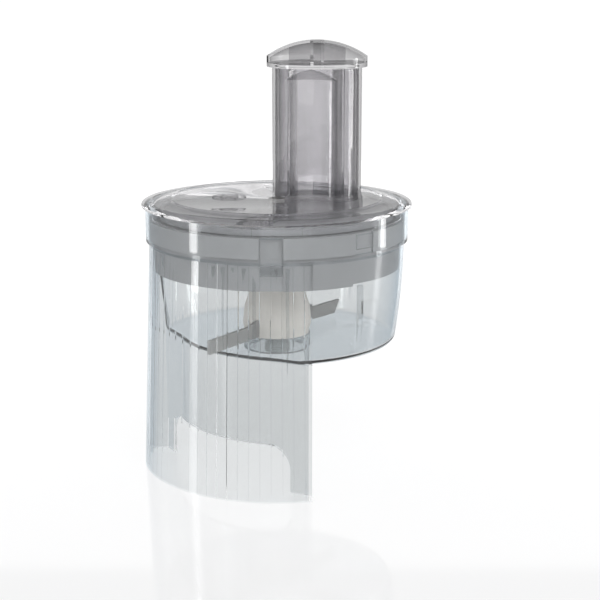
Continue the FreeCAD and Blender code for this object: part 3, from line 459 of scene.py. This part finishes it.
def tube_outline(shrink, height, flare=0.0):
    """The feed tube's outline: a circle with a hollow front, which flares out near the top."""
    radius, hollow = TUBE_R - shrink, RECESS_R + shrink - flare
    reach = math.hypot(*RECESS_OFFSET)
    along = (radius ** 2 - hollow ** 2 + reach ** 2) / (2 * reach)
    across = math.sqrt(max(radius ** 2 - along ** 2, 0.01))
    facing = math.degrees(math.atan2(RECESS_OFFSET[1], RECESS_OFFSET[0]))
    half = math.degrees(math.atan2(across, along))
    half_hollow = math.degrees(math.atan2(across, reach - along))
    middle = (TUBE_MIDDLE[0] + RECESS_OFFSET[0], TUBE_MIDDLE[1] + RECESS_OFFSET[1])
    round_part = list(arc(TUBE_MIDDLE, radius, facing + half, facing + 360 - half, CIRCLE_STEPS))
    behind = facing + 180
    hollow_part = list(arc(middle, hollow, behind + half_hollow, behind - half_hollow, CIRCLE_STEPS // 3))
    return [Vector((x, y, height)) * MM for x, y in round_part[:-1] + hollow_part[:-1]]


def finish_piece(thing, material, body, node):
    """Gives a modelled piece its finish and body, in place of the frame piece named."""
    thing.data.materials.clear()
    thing.data.materials.append(material)
    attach(thing, body)
    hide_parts(node)


def dress(node, material):
    """Gives a frame piece its finish."""
    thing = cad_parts[node]
    thing.data.materials.clear()
    thing.data.materials.append(material)


# ---- pieces ----


def heights_of(node):
    """The lowest and highest point of a frame piece, in millimetres."""
    low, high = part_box(node)
    return low.z / MM, high.z / MM


def fluted_wall(label, heights, half_angle):
    """The chute's curved front: smooth outside, with fine upright flutes inside."""
    inside = [(-half_angle, 0.0)]
    for number in range(FLUTE_COUNT):
        middle = (number - (FLUTE_COUNT - 1) / 2) * FLUTE_PITCH
        inside += [(middle - FLUTE_HALF, 0.0), (middle, FLUTE_DEPTH), (middle + FLUTE_HALF, 0.0)]
        inside += [(middle + FLUTE_PITCH * part, 0.0) for part in (0.2, 0.4, 0.6, 0.8)]
    inside = [pair for pair in inside if pair[0] < half_angle] + [(half_angle, 0.0)]
    loops = []
    for radius, height in zip((CHUTE_MOUTH_R, CHUTE_TOP_R), heights):
        outer = [at(radius, CHUTE_MIDDLE + turn, height) for turn, _ in inside]
        inner = [at(radius - CHUTE_WALL + depth, CHUTE_MIDDLE + turn, height)
                 for turn, depth in reversed(inside)]
        loops.append(outer + inner)
    return stack(label, loops)


def discharge_chute():
    """The frame's chute with its curved front cut off and put back with finer flutes."""
    low, high = heights_of("discharge_chute")
    reach, bite, overlap = 20, 0.05, 0.15
    thing = moulded_copy("discharge_chute", "chute")
    slope = (CHUTE_MOUTH_R - CHUTE_TOP_R) / (high - low)
    below = CHUTE_MOUTH_R + slope * reach - CHUTE_WALL
    above = CHUTE_TOP_R - slope * reach - CHUTE_WALL
    turns = [CHUTE_HALF * (step / 40 - 1) for step in range(81)]
    cutter = []
    for radius, height in ((below, low - reach), (above, high + reach)):
        outer = [at(CHUTE_MOUTH_R + 2 * reach, CHUTE_MIDDLE + turn, height) for turn in turns]
        inner = [at(radius - bite, CHUTE_MIDDLE + turn, height) for turn in reversed(turns)]
        cutter.append(outer + inner)
    joined(thing, stack("cutter", cutter), "DIFFERENCE")
    joined(thing, fluted_wall("front", (low, high), CHUTE_HALF + overlap), "UNION")
    return smooth(thing)


def feed_tube():
    """The wall of the feed tube, up the outside and down the inside."""
    low, high = heights_of("feed_tube")
    flare_from = high - FLARE_HEIGHT
    heights = [(low, 0.0), (flare_from, 0.0)]
    heights += [(flare_from + FLARE_HEIGHT * part, FLARE_DEPTH * part) for part in (0.25, 0.5, 0.75, 1.0)]
    outside = [tube_outline(0, height, flare) for height, flare in heights]
    inside = [tube_outline(TUBE_WALL, height, flare) for height, flare in reversed(heights)]
    return soften(stack("tube", outside + inside, closed=True))


def pusher_cup():
    """The hollow pusher, open at the top, with two slanted ribs from front to back."""
    low, high = heights_of("pusher_cup")
    gap, wall, floor = 2.7, 1.8, 2.5
    loops = [tube_outline(gap, low), tube_outline(gap, high), tube_outline(gap + wall, high),
             tube_outline(gap + wall, low + floor)]
    thing = stack("pusher", loops)
    rib_half, rib_reach, rib_foot, rib_top, inset = 0.9, 24, low + 1, high - 0.5, gap + 0.5
    for front, back in ((-21.5, -15.0), (18.5, 12.5)):
        corners = ((front - rib_half, -rib_reach), (front + rib_half, -rib_reach),
                   (back + rib_half, rib_reach), (back - rib_half, rib_reach))
        rib = [(TUBE_MIDDLE[0] + x, TUBE_MIDDLE[1] + y) for x, y in corners]
        plate = prism("plate", rib, rib_foot, rib_top)
        joined(plate, stack("room", [tube_outline(inset, low), tube_outline(inset, high)]), "INTERSECT")
        joined(thing, plate, "UNION")
    return soften(thing)


def sector(label, inner, outer, az, half, low, high):
    """A solid between two radii, two bearings and two heights."""
    turns = [az + half * (step / 8 - 1) for step in range(17)]
    loops = []
    for height in (low, high):
        loops.append([at(outer, turn, height) for turn in turns]
                     + [at(inner, turn, height) for turn in reversed(turns)])
    return stack(label, loops)


def disc_at(label, radius, low, high, x=0.0):
    """A plain round solid, on the drive axis or beside it."""
    return prism(label, list(arc((x, 0.0), radius, 0, 360, CIRCLE_STEPS))[:-1], low, high)


def ring(label, outer, inner, low, high, x):
    """A flat ring beside the drive axis."""
    thing = disc_at(label, outer, low, high, x)
    return joined(thing, disc_at("hollow", inner, low - 1, high + 1, x), "DIFFERENCE")


def lid_shell():
    """The lid turned about the drive axis, then its tube hole, thumb pad and latch tab."""
    low_rim, under, plateau, hole_gap = 95.8, 98.0, 100.3, 0.1
    profile = [
        (0, under), (72.5, under), (84.2, low_rim + 0.3), (86.2, low_rim - 0.6), (86.2, 88.0),
        (88.2, 88.0), (88.2, low_rim), (94.6, low_rim), (95.0, low_rim + 0.4), (95.0, low_rim + 1.4),
        (94.7, low_rim + 1.9), (94.2, low_rim + 2.2), (89.0, 98.6), (88.5, 98.9), (87.6, 98.95),
        (87.2, 98.85), (77.0, 100.1), (76.0, 100.4), (75.2, 101.0), (74.5, 101.2), (73.8, 101.0),
        (73.0, 100.5), (72.2, plateau), (0, plateau),
    ]
    thing = turned("lid", profile)
    hole = stack("hole", [tube_outline(-hole_gap, height) for height in (90, 110)])
    seat = disc_at("seat", radius=6.0, low=under - 5, high=under + 1.2)
    joined(thing, hole, "DIFFERENCE")
    joined(thing, seat, "DIFFERENCE")
    pad = sector("pad", inner=87.2, outer=89.8, az=0.9, half=10.6, low=88.3, high=low_rim + 0.3)
    latch = sector("latch", inner=93.1, outer=94.9, az=89.5, half=3.5, low=91.3, high=low_rim + 0.5)
    joined(thing, pad, "UNION")
    joined(thing, latch, "UNION")
    return soften(thing)


def badge():
    """A plain ring mark: two rings and three bars, barely raised."""
    x, low, high = -33.5, 100.2, 100.8
    thing = ring("badge", 12.0, 10.9, low, high, x)
    joined(thing, ring("inner", 6.6, 5.7, low, high, x), "UNION")
    bar_reach, bar_half, bar_top = 11.5, 0.5, high - 0.03
    for turn in (0, 60, 120):
        angle = math.radians(turn)
        along = Vector((math.cos(angle), math.sin(angle))) * bar_reach
        across = Vector((-math.sin(angle), math.cos(angle))) * bar_half
        corners = [Vector((x, 0)) + along * end + across * side
                   for end, side in ((-1, -1), (1, -1), (1, 1), (-1, 1))]
        joined(thing, prism("bar", corners, low, bar_top), "UNION")
    return smooth(thing)


# ---- stage ----

BACKDROP_SIZE = 1.6
STRIP_SIZE = (0.12, 0.9)
STRIP_TARGET = Vector((0, 0, 0.15))
FRONT_SIZE = (1.4, 1.4)
FRONT_TARGET = Vector((0, 0, 0.02))
WORLD_GREY = (0.5, 0.5, 0.51, 1.0)
WHITE_LIGHT = (1.0, 1.0, 1.0, 1.0)
CAMERA_LENS = 85.8
CAMERA_PLACE = (0.0164, -0.997, 0.353)
CAMERA_TILT = 76.7
BOUNCES = 32


def studio_plane(name, finish, size, location, rotation, **sockets):
    """A plane of the studio that gives white light of its own."""
    bpy.ops.object.select_all(action="DESELECT")
    bpy.ops.mesh.primitive_plane_add(size=size, location=location, rotation=rotation)
    plane = bpy.context.object
    plane.name = name
    bpy.ops.object.transform_apply(location=True, rotation=True, scale=True)
    material = bpy.data.materials.new(finish)
    material.use_nodes = True
    shader = material.node_tree.nodes["Principled BSDF"]
    shader.inputs["Emission Color"].default_value = WHITE_LIGHT
    for socket, value in sockets.items():
        shader.inputs[socket.replace("_", " ")].default_value = value
    plane.data.materials.append(material)


def studio_world():
    """Grey air that lights the piece, and another behind it that only the camera sees."""
    world = bpy.data.worlds.new("Studio")
    world.use_nodes = True
    nodes, links = world.node_tree.nodes, world.node_tree.links
    nodes["Background"].inputs["Color"].default_value = WORLD_GREY
    open_air = nodes.new("ShaderNodeBackground")
    seen = nodes.new("ShaderNodeLightPath")
    either = nodes.new("ShaderNodeMixShader")
    links.new(seen.outputs["Is Camera Ray"], either.inputs[0])
    links.new(nodes["Background"].outputs[0], either.inputs[1])
    links.new(open_air.outputs[0], either.inputs[2])
    links.new(either.outputs[0], nodes["World Output"].inputs[0])
    return world


def aimed_lamp(name, place, target, power, width, height):
    """A rectangular lamp that shines from one point towards another."""
    bpy.ops.object.light_add(type="AREA", location=place)
    lamp = bpy.context.object
    lamp.name = name
    lamp.data.shape = "RECTANGLE"
    lamp.data.size, lamp.data.size_y = width, height
    lamp.data.energy = power
    lamp.rotation_euler = (target - place).to_track_quat("-Z", "Y").to_euler()
    return lamp


def studio_camera(foot):
    """The camera, in front of the attachment and a little above it."""
    lens = bpy.data.cameras.new("camera")
    lens.lens = CAMERA_LENS
    camera = bpy.data.objects.new("camera", lens)
    x, y, height = CAMERA_PLACE
    camera.location = (x, y, height + foot)
    camera.rotation_euler = (math.radians(CAMERA_TILT), 0, 0)
    bpy.context.scene.collection.objects.link(camera)
    return camera


# ---- operators and panel ----


class ATTACH_OT_housing(bpy.types.Operator):
    """Make the clear bowl, its discharge chute and the spigot under it"""

    bl_idname = "attach.housing"
    bl_label = "Housing"

    def execute(self, context):
        for node, label in (("housing_bowl", "bowl"), ("drive_spigot", "spigot")):
            finish_piece(moulded_copy(node, label), clear_plastic(), "housing", node)
        finish_piece(discharge_chute(), clear_plastic(), "housing", "discharge_chute")
        dress("shaft_bush", bearing_plastic())
        dress("shaft_seal", seal_rubber())
        dress("thrust_washer", steel())
        return {"FINISHED"}


class ATTACH_OT_insert(bpy.types.Operator):
    """Make the insert ring and the fixed cutting grid"""

    bl_idname = "attach.insert"
    bl_label = "Insert and grid"

    def execute(self, context):
        for node, label in (("insert_ring", "insert"), ("grid_frame", "grid")):
            finish_piece(moulded_copy(node, label), grey_plastic(), "housing", node)
        for node in ("grid_blades_long", "grid_blades_cross", "grid_screws"):
            dress(node, steel())
        return {"FINISHED"}


class ATTACH_OT_lid(bpy.types.Operator):
    """Make the smoke-grey lid, its badge and its feed tube"""

    bl_idname = "attach.lid"
    bl_label = "Lid and feed tube"

    def execute(self, context):
        finish_piece(lid_shell(), lid_plastic(), "lid", "lid_shell")
        finish_piece(badge(), smoke_plastic(), "lid", "lid_badge")
        finish_piece(feed_tube(), smoke_plastic(), "lid", "feed_tube")
        dress("lid_bearing", bearing_plastic())
        return {"FINISHED"}


class ATTACH_OT_pusher(bpy.types.Operator):
    """Make the hollow pusher and its cap"""

    bl_idname = "attach.pusher"
    bl_label = "Pusher"

    def execute(self, context):
        finish_piece(pusher_cup(), smoke_plastic(), "pusher", "pusher_cup")
        cap = moulded_copy("pusher_cap", "cap")
        finish_piece(cap, cap_plastic(), "pusher", "pusher_cap")
        return {"FINISHED"}


class ATTACH_OT_rotor(bpy.types.Operator):
    """Make the ejector, the cutting disc and the shaft parts"""

    bl_idname = "attach.rotor"
    bl_label = "Rotor"

    def execute(self, context):
        hub = moulded_copy("ejector_hub", "hub")
        finish_piece(hub, white_plastic(), "rotor", "ejector_hub")
        for node, label in (("ejector_wing_long", "long_wing"), ("ejector_wing_short", "short_wing")):
            finish_piece(moulded_copy(node, label), shaded_wing_plastic(), "rotor", node)
        disc = moulded_copy("cutting_disc", "disc")
        finish_piece(disc, disc_plastic(), "rotor", "cutting_disc")
        dress("drive_coupling", bearing_plastic())
        for node in ("drive_shaft", "retaining_ring", "coupling_pin", "disc_nut", "slicing_knife",
                     "knife_screws"):
            dress(node, steel())
        return {"FINISHED"}


class ATTACH_OT_stage(bpy.types.Operator):
    """Make the floor, the backdrop, the lights and the camera"""

    bl_idname = "attach.stage"
    bl_label = "Stage"

    def execute(self, context):
        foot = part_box("discharge_chute")[0].z
        upright = (math.radians(90), 0, 0)
        studio_plane("floor", "Floor gloss", sizes().floor_size, (0, 0, foot), (0, 0, 0),
                     Base_Color=(0.3, 0.3, 0.3, 1.0), Roughness=0.06, Emission_Strength=0.64)
        behind = (0, sizes().backdrop_distance, foot)
        studio_plane("backdrop", "Backdrop light", BACKDROP_SIZE, behind, upright,
                     Base_Color=(0.0, 0.0, 0.0, 1.0), Emission_Strength=1.0)
        context.scene.world = studio_world()
        for name, az, power in (("left_strip", -72, 2.2), ("right_strip", 101, 2.4)):
            strip = aimed_lamp(name, at(900, az, 150), STRIP_TARGET, power, *STRIP_SIZE)
            strip.visible_diffuse = False
        front = aimed_lamp("front_soft", Vector((0.2, -1.3, 0.9)), FRONT_TARGET, 15.0, *FRONT_SIZE)
        front.visible_glossy = False
        context.scene.camera = studio_camera(foot)
        context.scene.view_settings.view_transform = "Standard"
        context.scene.cycles.max_bounces = BOUNCES
        context.scene.cycles.transmission_bounces = BOUNCES
        context.scene.cycles.transparent_max_bounces = BOUNCES
        return {"FINISHED"}


OPERATORS = (
    ATTACH_OT_housing,
    ATTACH_OT_insert,
    ATTACH_OT_lid,
    ATTACH_OT_pusher,
    ATTACH_OT_rotor,
    ATTACH_OT_stage,
)


class ATTACH_PT_sidebar(bpy.types.Panel):
    """Lists the operators, the sizes and the colours"""

    bl_idname = "ATTACH_PT_sidebar"
    bl_label = "Dicing attachment"
    bl_space_type = "VIEW_3D"
    bl_region_type = "UI"
    bl_category = "Attachment"

    def draw(self, context):
        for operator in OPERATORS:
            self.layout.operator(operator.bl_idname)
        for group in (context.scene.attachment_sizes, context.scene.attachment_colours):
            for name in group.bl_rna.properties.keys():
                if name not in ("rna_type", "name"):
                    self.layout.prop(group, name)


CLASSES = (AttachmentSizes, AttachmentColours, *OPERATORS, ATTACH_PT_sidebar)


def register():
    """Adds the classes and the scene's sizes and colours."""
    for item in CLASSES:
        bpy.utils.register_class(item)
    bpy.types.Scene.attachment_sizes = bpy.props.PointerProperty(type=AttachmentSizes)
    bpy.types.Scene.attachment_colours = bpy.props.PointerProperty(type=AttachmentColours)


def unregister():
    """Takes away what register added."""
    del bpy.types.Scene.attachment_colours
    del bpy.types.Scene.attachment_sizes
    for item in reversed(CLASSES):
        bpy.utils.unregister_class(item)


def main():
    """Builds every piece in order."""
    register()
    for operator in OPERATORS:
        family, name = operator.bl_idname.split(".")
        getattr(getattr(bpy.ops, family), name)()


if __name__ == "__main__":
    main()
